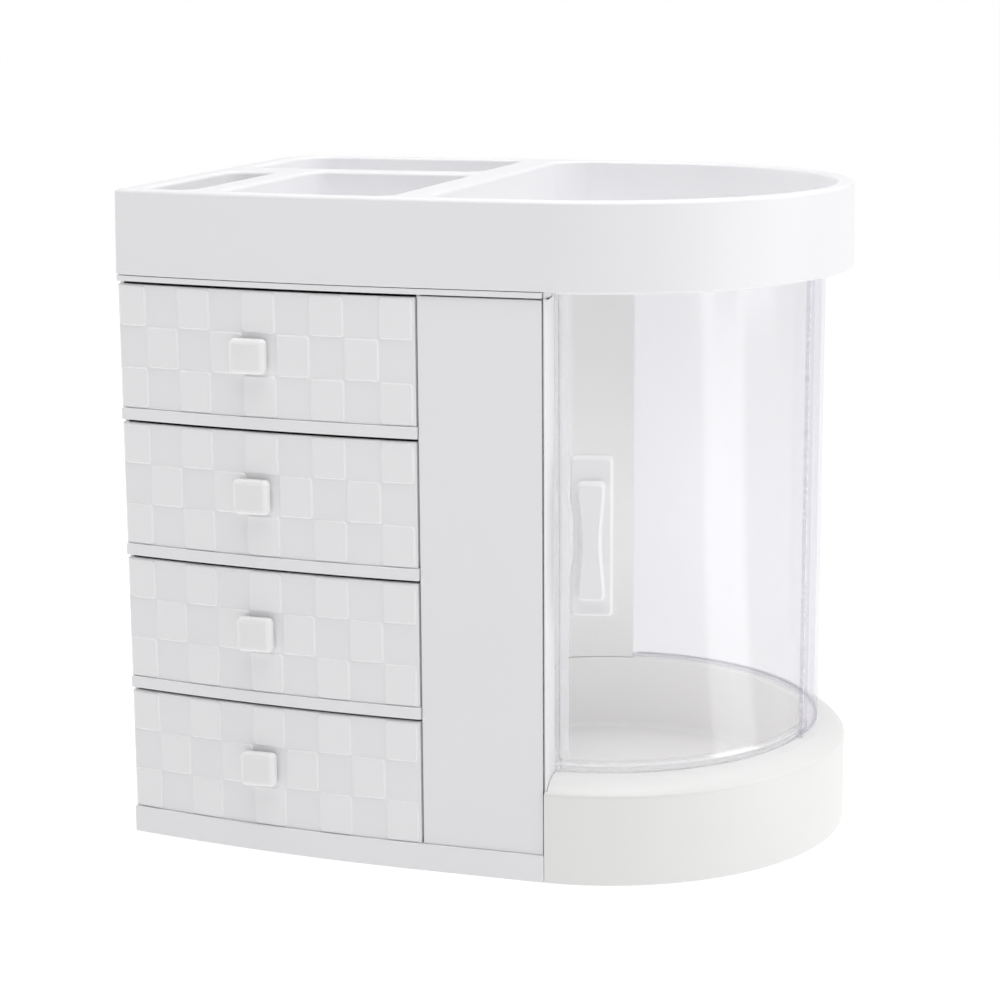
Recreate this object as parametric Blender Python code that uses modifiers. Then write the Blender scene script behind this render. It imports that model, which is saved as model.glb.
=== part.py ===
# Brush holder with four drawers, a compartment tray on top and a round brush chamber
# behind a clear door that slides round inside a fixed clear panel.
# Metres, +Z up. The origin is at the bottom centre, the drawers face -Y, the chamber is at +X.

import math

import bmesh
import bpy
from mathutils import Matrix

# Overall size
WIDTH = 0.340
DEPTH = 0.245
HEIGHT = 0.325
FRONT_BOW = 0.014        # the front's left end stands this far behind its foremost line
FRONT_FLAT = 0.0595      # length of the front's straight stretch, left of the round end's axis
REAR_CORNER_R = 0.025
PLAY = 0.0003            # left between pieces that rest on each other or fit together
OVERRUN = 0.005          # how far a cutter passes beyond what it cuts
WELD = 0.00001

# Heights of the layers
PLINTH_H = 0.0133
TRAY_H = 0.0414
TOP_PLATE_T = 0.003
SHELF_LIP_H = 0.0058
SHELF_T = 0.0022
SHELF_LIP_DEPTH = 0.004
SHELF_END_GAP = 0.0006   # between a lip's right end and the blank panel
DRAWERS = 4

# Drawer housing
PARTITION_OFFSET = 0.0575  # from the chamber's axis to the partition's right face
WALL_T = 0.0022
FRONT_INSET = 0.0015     # the flat fronts stand back this far from the plinth
LIP_INSET = 0.0004
TOP_INSET = 0.0004
REAR_SEAM_OFFSET = 0.019  # from the chamber's axis to where the rear wall turns in beside it
REAR_JAMB_DEPTH = 0.0115

# Drawers
FRONT_T = 0.0025
FRONT_LEFT_GAP = 0.0005
FRONT_RIGHT_GAP = 0.002
FRONT_TOP_GAP = 0.0015
BOX_SIDE_GAP = 0.0008
BOX_T = 0.0018
BOX_TOP_GAP = 0.0087
BOX_REAR_GAP = 0.030     # behind the box, to the back of the object

# Tile relief on the drawer fronts; the shares are of a front's width
TILE_SHARE = 0.1124
FIRST_TILE_SHARE = 0.0984
LAST_TILE_GAP = 0.0012
TILE_ROWS = 3
TILE_COLUMNS = 9
TILE_RAISE = 0.0008
TILE_ROOT = 0.001        # how deep a tile is rooted in the front
TILE_CORNER_R = 0.0018
TILE_MARGIN = 0.0002

# Knobs
KNOB_W = 0.0172
KNOB_OUT = 0.0072        # from the flat front to the knob's face
KNOB_ROUND = 0.0022
KNOB_X_SHARE = 0.473     # of the housing's width
KNOB_NECK_R = 0.005
KNOB_NECK_H = 0.0012
KNOB_NECK_SIDES = 12

# Blank panel and front post, right of the drawers
BLANK_GAP = 0.0013
BLANK_END_GAP = 0.0009
POST_OFFSET = 0.0037     # from the chamber's axis to the post's left face
POST_GAP = 0.0007
POST_T = 0.0028
POST_FRONT = 0.004
POST_REAR = 0.0155

# Round base with its cup, centred on the chamber's axis; insets are from the object's round end
RING_WALL_H = 0.0437
RING_TOP_Z = 0.051
RING_FLAT_INSET = 0.011
RING_WALL_T = 0.0025
RING_GAP = 0.0055        # from the partition to the ring's flat side
SHOULDER_ROUND_SHARE = 0.45
CUP_INSET = 0.020
CUP_FLOOR_Z = 0.0113
CUP_GAP = 0.011          # from the partition to the cup's flat side
CUP_CORNER_R = 0.007
GROOVE_DEPTH = 0.0022
TOP_GROOVE_DEPTH = 0.0012
CHAMBER_TOP_T = 0.002
CHAMBER_TOP_LAP = 0.001  # how far the chamber's disc reaches into the cabinet's plate

# Clear door, clear rear panel and opaque chamber wall
DOOR_INSET = 0.016
CLEAR_T = 0.002
DOOR_START = -87.3       # degrees, seen from above, from +X
DOOR_END = -4.0
DOOR_TRAVEL = 62.0
DOOR_RIB_DEPTH = 0.008
DOOR_RIB_CLEAR = 0.0006
PANEL_INSET = 0.0125
PANEL_START = -9.0
PANEL_END = 99.5
CHAMBER_WALL_INSET = 0.019  # to its inner face
CHAMBER_WALL_START = 97.0
CHAMBER_WALL_END = -89.5

# Door handle
HANDLE_ANGLE = -78.5
HANDLE_W = 0.0188
HANDLE_Z_SHARE = 0.497   # of the height between the ring and the chamber's top
HANDLE_H = 0.0742
HANDLE_T = 0.003
HANDLE_CORNER_R = 0.002
HANDLE_NOTCH = 0.0017
HANDLE_NOTCH_H = 0.030
GRIP_W = 0.012
GRIP_WAIST = 0.0088
GRIP_H = 0.0573
GRIP_T = 0.0045
GRIP_CORNER_R = 0.0018

# Top tray
TRAY_INSET = 0.0008
TRAY_RIM = 0.0085
TRAY_FLOOR_T = 0.003
TRAY_WALL_T = 0.0022
TRAY_LIP_ROUND = 0.0018
TRAY_CORNER_R = 0.008
TRAY_DIVIDER_W = 0.016
SMALL_LEFT = 0.0125
SMALL_W = 0.0265
SMALL_REAR_SHARE = 0.5225  # of the object's depth
MIDDLE_REAR_SHARE = 0.5633
MIDDLE_END_GAP = 0.017   # to the partition
LONG_END_GAP = 0.0195
ROUND_GAP = 0.0004

# Fineness of the curves
BOW_STEPS = 10
FACET = 5.0              # degrees a facet on the large round pieces
CORNER_STEPS = 6
SMALL_STEPS = 3
TINY_STEPS = 2
SHOULDER_STEPS = 5
TILE_STEPS = 1
BEVEL_ANGLE = 30.0
LIP_ANGLE = 60.0
SHARP_ANGLE = 25.0

LEFT = -WIDTH / 2
FRONT = -DEPTH / 2
BACK = DEPTH / 2
END_R = DEPTH / 2
AXIS_X = WIDTH / 2 - END_R
BOW_X = AXIS_X - FRONT_FLAT
BOW_RUN = BOW_X - LEFT
BOW_R = (BOW_RUN ** 2 + FRONT_BOW ** 2) / (2 * FRONT_BOW)
TRAY_Z = HEIGHT - TRAY_H
CABINET_Z = TRAY_Z - TOP_PLATE_T
CHAMBER_Z = TRAY_Z - PLAY - CHAMBER_TOP_T
BAY_H = (CABINET_Z - PLINTH_H - (DRAWERS - 1) * SHELF_LIP_H) / DRAWERS
BOX_H = BAY_H - BOX_TOP_GAP
PARTITION_X = AXIS_X - PARTITION_OFFSET
HOUSING_W = PARTITION_X - LEFT
KNOB_X = LEFT + HOUSING_W * KNOB_X_SHARE
BLANK_X = PARTITION_X - FRONT_RIGHT_GAP + BLANK_GAP
POST_X = AXIS_X + POST_OFFSET
REAR_SEAM_X = AXIS_X - REAR_SEAM_OFFSET
RING_FLAT_R = END_R - RING_FLAT_INSET
RING_X = PARTITION_X + RING_GAP
CUP_R = END_R - CUP_INSET
CUP_X = PARTITION_X + CUP_GAP
DOOR_R = END_R - DOOR_INSET
DOOR_IN_R = DOOR_R - CLEAR_T
PANEL_R = END_R - PANEL_INSET
PANEL_IN_R = PANEL_R - CLEAR_T
CHAMBER_WALL_R = END_R - CHAMBER_WALL_INSET
HANDLE_Z = RING_TOP_Z + (CHAMBER_Z - RING_TOP_Z) * HANDLE_Z_SHARE


def clear_scene():
    for item in list(bpy.data.objects):
        bpy.data.objects.remove(item, do_unlink=True)


def new_collection(name):
    group = bpy.data.collections.new(name)
    bpy.context.scene.collection.children.link(group)
    return group


def new_material(name, colour, roughness, alpha=1.0):
    material = bpy.data.materials.new(name)
    material.use_nodes = True
    shader = material.node_tree.nodes["Principled BSDF"]
    shader.inputs["Base Color"].default_value = (*colour, 1)
    shader.inputs["Roughness"].default_value = roughness
    shader.inputs["Metallic"].default_value = 0
    shader.inputs["Alpha"].default_value = alpha
    return material


# Plan outlines

def arc(centre, radius, start, end, steps):
    points = []
    for step in range(steps + 1):
        angle = math.radians(start + (end - start) * step / steps)
        points.append((centre[0] + radius * math.cos(angle), centre[1] + radius * math.sin(angle)))
    return points


def axis_arc(radius, start, end):
    steps = max(1, math.ceil(abs(end - start) / FACET))
    return arc((AXIS_X, 0), radius, start, end, steps)


def front_y(x, inset=0):
    return FRONT + BOW_R - math.sqrt((BOW_R - inset) ** 2 - max(BOW_X - x, 0) ** 2)


def front_line(x_from, x_to, inset=0, steps=BOW_STEPS):
    points = []
    for step in range(steps + 1):
        x = x_from + (x_to - x_from) * step / steps
        # the straight stretch gets no points between its ends
        if x < BOW_X or step in (0, steps):
            points.append((x, front_y(x, inset)))
    return points


def rear_left_corner(inset=0, start=90.0, end=180.0):
    centre = (LEFT + REAR_CORNER_R, BACK - REAR_CORNER_R)
    return arc(centre, REAR_CORNER_R - inset, start, end, CORNER_STEPS)


def whole_plan(inset=0):
    return (front_line(LEFT + inset, AXIS_X, inset) + axis_arc(END_R - inset, -90, 90)[1:]
            + rear_left_corner(inset))


def sector(inner, outer, start, end):
    return axis_arc(outer, start, end) + axis_arc(inner, end, start)


def flat_side(radius, chord_x, corner, start, end):
    # round the left of the chamber: circle, small corner, flat side, small corner, circle
    corner_x = chord_x + corner
    corner_y = math.sqrt((radius - corner) ** 2 - (corner_x - AXIS_X) ** 2)
    tangent = math.degrees(math.atan2(corner_y, corner_x - AXIS_X))
    upper = arc((corner_x, corner_y), corner, tangent, 180, CORNER_STEPS)
    lower = arc((corner_x, -corner_y), corner, 180, 360 - tangent, CORNER_STEPS)
    return axis_arc(radius, start, tangent)[:-1] + upper + lower + axis_arc(radius, -tangent, end)[1:]


def angle_at(x, radius):
    return math.degrees(math.acos((x - AXIS_X) / radius))


def side_step(before, after):
    length = math.hypot(after[0] - before[0], after[1] - before[1])
    return (-(after[1] - before[1]) / length, (after[0] - before[0]) / length)


def offset(points, distance, closed):
    # moves a line to its own left; a loop that runs anticlockwise shrinks
    count = len(points)
    moved = []
    for index, (x, y) in enumerate(points):
        first = closed or index > 0
        last = closed or index < count - 1
        normals = []
        if first:
            normals.append(side_step(points[index - 1], (x, y)))
        if last:
            normals.append(side_step((x, y), points[(index + 1) % count]))
        nx = sum(normal[0] for normal in normals)
        ny = sum(normal[1] for normal in normals)
        scale = distance * len(normals) / (nx ** 2 + ny ** 2)
        moved.append((x + nx * scale, y + ny * scale))
    return moved


def rounded(corners, steps=CORNER_STEPS):
    # each corner is x, y and its radius; a radius of zero keeps the point
    count = len(corners)
    loop = []
    for index, (x, y, radius) in enumerate(corners):
        if radius == 0:
            loop.append((x, y))
            continue
        before = corners[index - 1]
        after = corners[(index + 1) % count]
        into = math.atan2(y - before[1], x - before[0])
        out = math.atan2(after[1] - y, after[0] - x)
        turn = (out - into + math.pi) % (2 * math.pi) - math.pi
        reach = radius * abs(math.tan(turn / 2))
        side = math.copysign(math.pi / 2, turn)
        start_x = x - reach * math.cos(into)
        start_y = y - reach * math.sin(into)
        centre = (start_x + radius * math.cos(into + side), start_y + radius * math.sin(into + side))
        start = math.degrees(into - side)
        loop += arc(centre, radius, start, start + math.degrees(turn), steps)
    return loop


# Solids

def set_apart(item, group):
    for owner in list(item.users_collection):
        owner.objects.unlink(item)
    group.objects.link(item)


def weld(mesh):
    shell = bmesh.new()
    shell.from_mesh(mesh)
    bmesh.ops.remove_doubles(shell, verts=shell.verts, dist=WELD)
    shell.to_mesh(mesh)
    shell.free()


def flat_solid(name, loops, low, high):
    outline = bpy.data.curves.new(name, "CURVE")
    outline.dimensions = "2D"
    outline.fill_mode = "BOTH"
    outline.extrude = (high - low) / 2
    for loop in loops:
        spline = outline.splines.new("POLY")
        spline.points.add(len(loop) - 1)
        for point, (x, y) in zip(spline.points, loop):
            point.co = (x, y, 0, 1)
        spline.use_cyclic_u = True
    drawn = bpy.data.objects.new(name + "_outline", outline)
    drawn.location.z = (low + high) / 2
    bpy.context.scene.collection.objects.link(drawn)
    bpy.context.view_layer.update()
    evaluated = drawn.evaluated_get(bpy.context.evaluated_depsgraph_get())
    mesh = bpy.data.meshes.new_from_object(evaluated)
    weld(mesh)
    solid = bpy.data.objects.new(name, mesh)
    solid.matrix_world = drawn.matrix_world.copy()
    bpy.data.objects.remove(drawn)
    parts.objects.link(solid)
    return solid


def turned_solid(name, profile):
    mesh = bpy.data.meshes.new(name)
    line = bmesh.new()
    points = [line.verts.new((radius, 0, z)) for radius, z in profile]
    for first, second in zip(points, points[1:]):
        line.edges.new((first, second))
    line.to_mesh(mesh)
    line.free()
    solid = bpy.data.objects.new(name, mesh)
    solid.location.x = AXIS_X
    screw = solid.modifiers.new("turn", "SCREW")
    screw.steps = round(360 / FACET)
    screw.render_steps = screw.steps
    screw.use_merge_vertices = True
    screw.merge_threshold = WELD
    parts.objects.link(solid)
    return solid


def box_solid(name, size, centre):
    mesh = bpy.data.meshes.new(name)
    cube = bmesh.new()
    bmesh.ops.create_cube(cube, size=1, matrix=Matrix.Diagonal((*size, 1)))
    cube.to_mesh(mesh)
    cube.free()
    solid = bpy.data.objects.new(name, mesh)
    solid.location = centre
    parts.objects.link(solid)
    return solid


def add_boolean(solid, tool, operation):
    set_apart(tool, cutters)
    tool.hide_render = True
    tool.display_type = "WIRE"
    modifier = solid.modifiers.new(operation.lower(), "BOOLEAN")
    modifier.object = tool
    modifier.operation = operation
    modifier.solver = "EXACT"


def add_bevel(solid, width, angle):
    modifier = solid.modifiers.new("rounded edges", "BEVEL")
    modifier.width = width
    modifier.segments = TINY_STEPS
    modifier.limit_method = "ANGLE"
    modifier.angle_limit = math.radians(angle)
    modifier.use_clamp_overlap = True


def finish(solid, material):
    if not solid.data.materials:
        solid.data.materials.append(material)
    solid.data.shade_smooth()
    solid.data.set_sharp_from_angle(angle=math.radians(SHARP_ANGLE))
    return solid


def hang(solid, holder):
    # the holder stands on the joint's axis; the piece keeps its place
    bpy.context.view_layer.update()
    solid.parent = holder
    solid.matrix_parent_inverse = holder.matrix_world.inverted()


def axis_empty(name, location):
    holder = bpy.data.objects.new(name, None)
    holder.location = location
    holder.empty_display_size = REAR_CORNER_R
    parts.objects.link(holder)
    return holder


# Base

def make_plinth():
    grown = RING_FLAT_R + PLAY
    around = flat_side(grown, RING_X - PLAY, CUP_CORNER_R,
                       angle_at(REAR_SEAM_X, grown), -angle_at(POST_X, grown))
    outline = front_line(LEFT, POST_X) + around[::-1] + [(REAR_SEAM_X, BACK)] + rear_left_corner()
    return finish(flat_solid("base_plinth", [outline], 0, PLINTH_H), white)


def make_ring():
    shoulder_drop = RING_TOP_Z - RING_WALL_H
    shoulder_run = END_R - RING_FLAT_R
    shoulder = []
    round_share = SHOULDER_ROUND_SHARE
    for step in range(SHOULDER_STEPS + 1):
        share = step / SHOULDER_STEPS
        turn = math.pi / 2 * share
        run_share = round_share * math.sin(turn) + (1 - round_share) * share
        drop_share = round_share * (1 - math.cos(turn)) + (1 - round_share) * share
        shoulder.append((RING_FLAT_R + shoulder_run * run_share, RING_TOP_Z - shoulder_drop * drop_share))
    ring = turned_solid("base_ring", [(0, RING_TOP_Z)] + shoulder + [(END_R, 0), (0, 0)])

    left_x = POST_X + PLAY
    rear_left_x = REAR_SEAM_X + PLAY
    around = flat_side(RING_FLAT_R, RING_X, CUP_CORNER_R,
                       angle_at(rear_left_x, RING_FLAT_R), -angle_at(left_x, RING_FLAT_R))
    far = DEPTH
    region = [(left_x, -far), (far, -far), (far, far), (rear_left_x, far)] + around
    add_boolean(ring, flat_solid("ring_region", [region], -OVERRUN, RING_TOP_Z + OVERRUN), "INTERSECT")

    cup = flat_side(CUP_R, CUP_X, CUP_CORNER_R, 0, 0)[:-1]
    add_boolean(ring, flat_solid("cup_cut", [cup], CUP_FLOOR_Z, RING_TOP_Z + OVERRUN), "DIFFERENCE")

    hollow = sector(CUP_R + RING_WALL_T, END_R - RING_WALL_T, DOOR_START + FACET, CHAMBER_WALL_START)
    hollow_top = RING_WALL_H - RING_WALL_T
    add_boolean(ring, flat_solid("ring_hollow", [hollow], -OVERRUN, hollow_top), "DIFFERENCE")

    groove_low = RING_TOP_Z - GROOVE_DEPTH
    add_boolean(ring, door_groove(groove_low, RING_TOP_Z + OVERRUN), "DIFFERENCE")
    add_boolean(ring, panel_groove(groove_low, RING_TOP_Z + OVERRUN), "DIFFERENCE")

    notch_front = FRONT + POST_FRONT - PLAY
    notch_rear = FRONT + POST_REAR + PLAY
    notch_right = POST_X + POST_T + PLAY
    notch_left = POST_X - OVERRUN
    notch = [(notch_left, notch_front), (notch_right, notch_front), (notch_right, notch_rear),
             (notch_left, notch_rear)]
    add_boolean(ring, flat_solid("post_notch", [notch], RING_WALL_H, RING_TOP_Z + OVERRUN), "DIFFERENCE")
    return finish(ring, white)


def door_groove(low, high):
    spare = math.degrees(OVERRUN / DOOR_R) / 2
    loop = sector(DOOR_IN_R - PLAY, DOOR_R + PLAY, DOOR_START - spare, DOOR_END + DOOR_TRAVEL + spare)
    return flat_solid("door_groove", [loop], low, high)


def panel_groove(low, high):
    spare = math.degrees(PLAY / PANEL_R)
    loop = sector(PANEL_IN_R - PLAY, PANEL_R + PLAY, PANEL_START - spare, PANEL_END + spare)
    return flat_solid("panel_groove", [loop], low, high)


# Cabinet

def make_shell():
    left = LEFT + WALL_T
    wall_front = FRONT_INSET + FRONT_T + 2 * PLAY
    rear_in = BACK - WALL_T
    jamb_y = BACK - REAR_JAMB_DEPTH
    partition_left = PARTITION_X - WALL_T
    outline = [(left, front_y(left, wall_front)), (LEFT, front_y(LEFT, wall_front))]
    outline += rear_left_corner(0, 180, 90)
    outline += [(REAR_SEAM_X, BACK), (REAR_SEAM_X, jamb_y), (REAR_SEAM_X - WALL_T, jamb_y),
                (REAR_SEAM_X - WALL_T, rear_in), (PARTITION_X, rear_in),
                (PARTITION_X, front_y(PARTITION_X, wall_front)),
                (partition_left, front_y(partition_left, wall_front)), (partition_left, rear_in)]
    outline += rear_left_corner(WALL_T)
    return finish(flat_solid("cabinet_shell", [outline], PLINTH_H + PLAY, CABINET_Z - PLAY), white)


def make_cabinet_top():
    disc_r = RING_FLAT_R - PLAY
    bite_r = disc_r - CHAMBER_TOP_LAP
    right = POST_X + POST_T
    top = TRAY_Z - PLAY
    bite = axis_arc(bite_r, 360 - angle_at(right, bite_r), angle_at(REAR_SEAM_X, bite_r))
    outline = front_line(LEFT + TOP_INSET, right, TOP_INSET) + bite
    outline += [(REAR_SEAM_X, BACK - TOP_INSET)] + rear_left_corner(TOP_INSET)
    plate = flat_solid("cabinet_top", [outline], CABINET_Z, top)
    disc = flat_solid("chamber_top", [axis_arc(disc_r, 0, 360)[:-1]], CHAMBER_Z, top)
    add_boolean(plate, disc, "UNION")
    groove_high = CHAMBER_Z + TOP_GROOVE_DEPTH
    add_boolean(plate, door_groove(CHAMBER_Z - OVERRUN, groove_high), "DIFFERENCE")
    add_boolean(plate, panel_groove(CHAMBER_Z - OVERRUN, groove_high), "DIFFERENCE")
    return finish(plate, white)


def bay_floor(number):
    # drawers are numbered from the top down
    return PLINTH_H + (DRAWERS - number) * (BAY_H + SHELF_LIP_H)


def make_shelf(number):
    top = bay_floor(number)
    left = LEFT + WALL_T + PLAY
    right = PARTITION_X - WALL_T - PLAY
    lip_rear = LIP_INSET + SHELF_LIP_DEPTH
    corner = WALL_T + PLAY
    rear = BACK - corner
    plate = front_line(left, right, lip_rear - SHELF_LIP_DEPTH / 2)
    plate += [(right, rear)] + rear_left_corner(corner)
    shelf = flat_solid(f"shelf_{number}", [plate], top - SHELF_T, top)
    lip_left = LEFT + LIP_INSET
    lip_right = BLANK_X - SHELF_END_GAP
    lip = front_line(lip_left, lip_right, LIP_INSET)
    lip += front_line(lip_right, lip_left, lip_rear)
    add_boolean(shelf, flat_solid(f"shelf_lip_{number}", [lip], top - SHELF_LIP_H, top), "UNION")
    return finish(shelf, white)


def make_blank_panel():
    right = POST_X - POST_GAP
    outline = front_line(BLANK_X, right, FRONT_INSET)
    outline += front_line(right, BLANK_X, FRONT_INSET + FRONT_T)
    return finish(flat_solid("blank_panel", [outline], PLINTH_H + PLAY, CABINET_Z - BLANK_END_GAP), white)


def make_front_post():
    front = FRONT + POST_FRONT
    rear = FRONT + POST_REAR
    outline = [(POST_X, front), (POST_X + POST_T, front), (POST_X + POST_T, rear), (POST_X, rear)]
    return finish(flat_solid("front_post", [outline], RING_WALL_H + PLAY, CABINET_Z - PLAY), white)


# Drawers

def make_relief(number, low, high):
    row_h = (high - low) / TILE_ROWS
    left = LEFT + FRONT_LEFT_GAP
    right = PARTITION_X - FRONT_RIGHT_GAP
    edges = [left + TILE_MARGIN]
    for column in range(TILE_COLUMNS - 1):
        edges.append(left + (right - left) * (FIRST_TILE_SHARE + TILE_SHARE * column))
    edges.append(right - LAST_TILE_GAP)
    relief = bmesh.new()
    for row in range(TILE_ROWS):
        tile_low = low + row_h * row + (TILE_MARGIN if row == 0 else 0)
        tile_high = low + row_h * (row + 1) - (TILE_MARGIN if row == TILE_ROWS - 1 else 0)
        for column in range(TILE_COLUMNS):
            if (row + column) % 2:
                continue
            tile = tile_solid(edges[column], edges[column + 1], tile_low, tile_high)
            relief.from_mesh(tile.data)
            bpy.data.objects.remove(tile)
    mesh = bpy.data.meshes.new(f"tile_relief_{number}")
    relief.to_mesh(mesh)
    relief.free()
    tiles = bpy.data.objects.new(mesh.name, mesh)
    parts.objects.link(tiles)
    return tiles


def tile_solid(left, right, low, high):
    across = (right - left) / 2
    up = (high - low) / 2
    corners = [(-across, -up, TILE_CORNER_R), (across, -up, TILE_CORNER_R), (across, up, TILE_CORNER_R),
               (-across, up, TILE_CORNER_R)]
    tile = flat_solid("tile", [rounded(corners, TILE_STEPS)], -TILE_ROOT, TILE_RAISE)
    middle = (left + right) / 2
    slope = math.atan2(front_y(right, FRONT_INSET) - front_y(left, FRONT_INSET), right - left)
    stand = Matrix.Translation((middle, front_y(middle, FRONT_INSET), (low + high) / 2))
    stand = stand @ Matrix.Rotation(slope, 4, "Z") @ Matrix.Rotation(math.radians(90), 4, "X")
    tile.data.transform(stand @ tile.matrix_world)
    return tile


def make_drawer(number):
    floor = bay_floor(number)
    low = floor + PLAY
    high = floor + BAY_H - FRONT_TOP_GAP
    slide = axis_empty(f"drawer_slide_{number}", (KNOB_X, FRONT, (low + high) / 2))

    left = LEFT + FRONT_LEFT_GAP
    right = PARTITION_X - FRONT_RIGHT_GAP
    outline = front_line(left, right, FRONT_INSET) + front_line(right, left, FRONT_INSET + FRONT_T)
    front = flat_solid(f"drawer_front_{number}", [outline], low, high)
    add_boolean(front, make_relief(number, low, high), "UNION")

    box_left = LEFT + WALL_T + BOX_SIDE_GAP
    box_right = PARTITION_X - WALL_T - BOX_SIDE_GAP
    box_front = FRONT_INSET + FRONT_T + PLAY
    rear = BACK - BOX_REAR_GAP
    outer = front_line(box_left, box_right, box_front) + [(box_right, rear), (box_left, rear)]
    box = flat_solid(f"drawer_box_{number}", [outer], low, low + BOX_H)
    inner = offset(outer, BOX_T, True)
    hollow = flat_solid(f"box_hollow_{number}", [inner], low + BOX_T, low + BOX_H + OVERRUN)
    add_boolean(box, hollow, "DIFFERENCE")

    for piece in (front, box):
        hang(finish(piece, white), slide)
    hang(make_knob(number, (low + high) / 2), slide)


def make_knob(number, height):
    flat = front_y(KNOB_X + KNOB_NECK_R, FRONT_INSET) - PLAY
    depth = KNOB_OUT - KNOB_NECK_H - PLAY
    size = (KNOB_W, depth, KNOB_W)
    knob = box_solid(f"knob_{number}", size, (KNOB_X, flat - KNOB_NECK_H - depth / 2, height))
    add_bevel(knob, KNOB_ROUND, BEVEL_ANGLE)
    neck_mesh = bpy.data.meshes.new("neck")
    neck_shape = bmesh.new()
    lying = Matrix.Rotation(math.radians(90), 4, "X")
    neck_length = KNOB_NECK_H + depth / 2
    bmesh.ops.create_cone(neck_shape, cap_ends=True, segments=KNOB_NECK_SIDES,
                          radius1=KNOB_NECK_R, radius2=KNOB_NECK_R, depth=neck_length, matrix=lying)
    neck_shape.to_mesh(neck_mesh)
    neck_shape.free()
    neck = bpy.data.objects.new(f"knob_neck_{number}", neck_mesh)
    neck.location = (KNOB_X, flat - neck_length / 2, height)
    parts.objects.link(neck)
    add_boolean(knob, neck, "UNION")
    return finish(knob, milky)


# Chamber

def make_chamber_wall():
    inner = flat_side(CHAMBER_WALL_R, CUP_X - (CHAMBER_WALL_R - CUP_R), CUP_CORNER_R,
                      CHAMBER_WALL_START, CHAMBER_WALL_END)
    outer = offset(inner, -CLEAR_T, False)
    wall = flat_solid("chamber_wall", [inner + outer[::-1]], RING_TOP_Z + PLAY, CHAMBER_Z - PLAY)
    return finish(wall, white)


def clear_height():
    return (RING_TOP_Z - GROOVE_DEPTH + PLAY, CHAMBER_Z + TOP_GROOVE_DEPTH - PLAY)


def make_clear_panel():
    low, high = clear_height()
    loop = sector(PANEL_IN_R, PANEL_R, PANEL_START, PANEL_END)
    return finish(flat_solid("clear_back_panel", [loop], low, high), clear)


def make_door():
    low, high = clear_height()
    axis = axis_empty("door_axis", (AXIS_X, 0, 0))
    loop = sector(DOOR_IN_R, DOOR_R, DOOR_START, DOOR_END)
    door = flat_solid("sliding_door", [loop], low, high)
    rib_turn = math.degrees(CLEAR_T / DOOR_R)
    rib = sector(DOOR_R - DOOR_RIB_DEPTH, DOOR_R - CLEAR_T / 2, DOOR_START, DOOR_START + rib_turn)
    rib_solid = flat_solid("door_rib", [rib], RING_TOP_Z + DOOR_RIB_CLEAR, CHAMBER_Z - DOOR_RIB_CLEAR)
    add_boolean(door, rib_solid, "UNION")
    hang(finish(door, clear), axis)
    hang(make_handle(), axis)


def make_handle():
    half_w = HANDLE_W / 2
    half_h = HANDLE_H / 2
    corner = HANDLE_CORNER_R
    notch = HANDLE_NOTCH_H / 2
    notch_r = HANDLE_NOTCH_H / 3
    notch_x = HANDLE_NOTCH - half_w
    plate_points = [(half_w, -half_h, corner), (half_w, half_h, corner), (-half_w, half_h, corner),
                    (-half_w, notch, notch_r), (notch_x, notch / 2, notch_r), (notch_x, -notch / 2, notch_r),
                    (-half_w, -notch, notch_r), (-half_w, -half_h, corner)]
    plate = flat_solid("door_handle", [rounded(plate_points, SMALL_STEPS)], -HANDLE_T, HANDLE_T)
    stand_handle(plate, DOOR_R + HANDLE_T / 2)
    band = sector(DOOR_R + PLAY, DOOR_R + PLAY + HANDLE_T, HANDLE_ANGLE - 4 * FACET, HANDLE_ANGLE + 4 * FACET)
    band_solid = flat_solid("handle_band", [band], HANDLE_Z - HANDLE_H, HANDLE_Z + HANDLE_H)
    add_boolean(plate, band_solid, "INTERSECT")

    grip_points = []
    steps = 4 * SMALL_STEPS
    for side, order in ((1, range(steps + 1)), (-1, range(steps, -1, -1))):
        for step in order:
            share = step / steps
            pinch = math.sin(math.pi * share) ** 2
            across = side * (GRIP_W - (GRIP_W - GRIP_WAIST) * pinch) / 2
            ends = step in (0, steps)
            grip_points.append((across, GRIP_H * (share - 1 / 2), GRIP_CORNER_R if ends else 0))
    grip = flat_solid("handle_grip", [rounded(grip_points, TINY_STEPS)], -GRIP_T / 2, GRIP_T / 2)
    stand_handle(grip, DOOR_R + HANDLE_T / 2 + GRIP_T / 2)
    add_boolean(plate, grip, "UNION")
    return finish(plate, white)


def stand_handle(solid, radius):
    # local x runs round the door, local y runs up, local z points out
    turn = Matrix.Rotation(math.radians(HANDLE_ANGLE + 90), 4, "Z")
    out = Matrix.Translation((0, -radius, 0)) @ Matrix.Rotation(math.radians(90), 4, "X")
    solid.data.transform(Matrix.Translation((AXIS_X, 0, HANDLE_Z)) @ turn @ out)


# Top tray

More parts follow.
